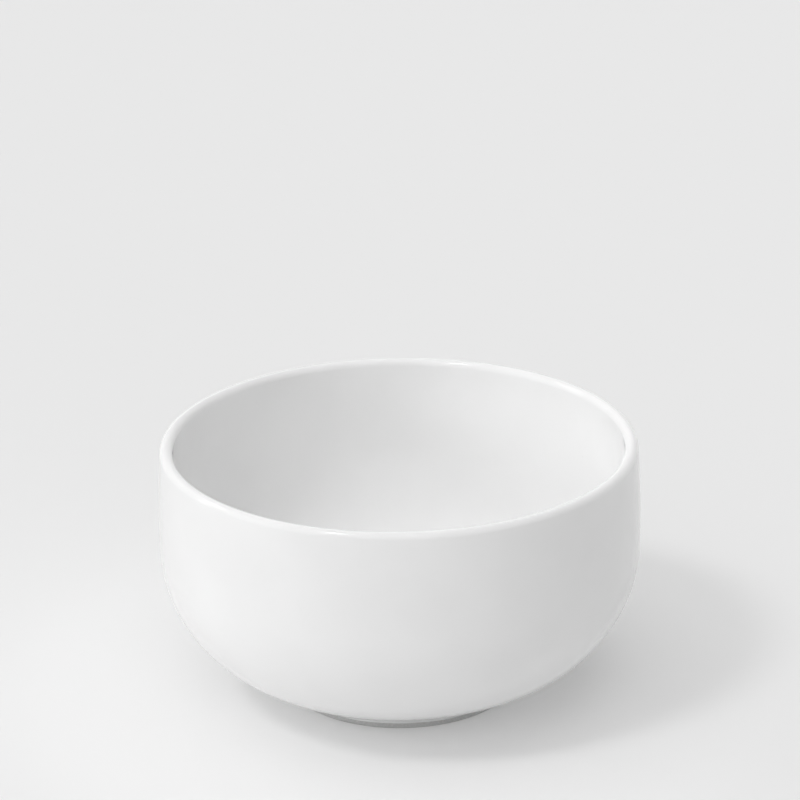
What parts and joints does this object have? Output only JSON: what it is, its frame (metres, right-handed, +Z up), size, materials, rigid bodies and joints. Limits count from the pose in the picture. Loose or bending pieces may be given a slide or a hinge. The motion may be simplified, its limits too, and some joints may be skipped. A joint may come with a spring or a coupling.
{
  "type": "shaving bowl",
  "caption": "Round white glazed porcelain shaving bowl: steep sides leaning in slightly to a rounded lip, a wide curved belly and a low bare foot ring.",
  "frame": {"origin": "centre of the foot ring's standing face, where the bowl's axis meets the surface it stands on", "axes": "+Z up the axis of the bowl; X and Y are any pair across it, because the bowl is round"},
  "size_m": [0.1216, 0.1216, 0.0658],
  "materials": {
    "biscuit": "bare fired porcelain, pale grey, fine matte",
    "glaze": "smooth white gloss glaze"
  },
  "bodies": {
    "root": {"porcelain_body": "biscuit", "glaze_coat": "glaze", "base_glaze": "glaze"}
  },
  "joints": []
}
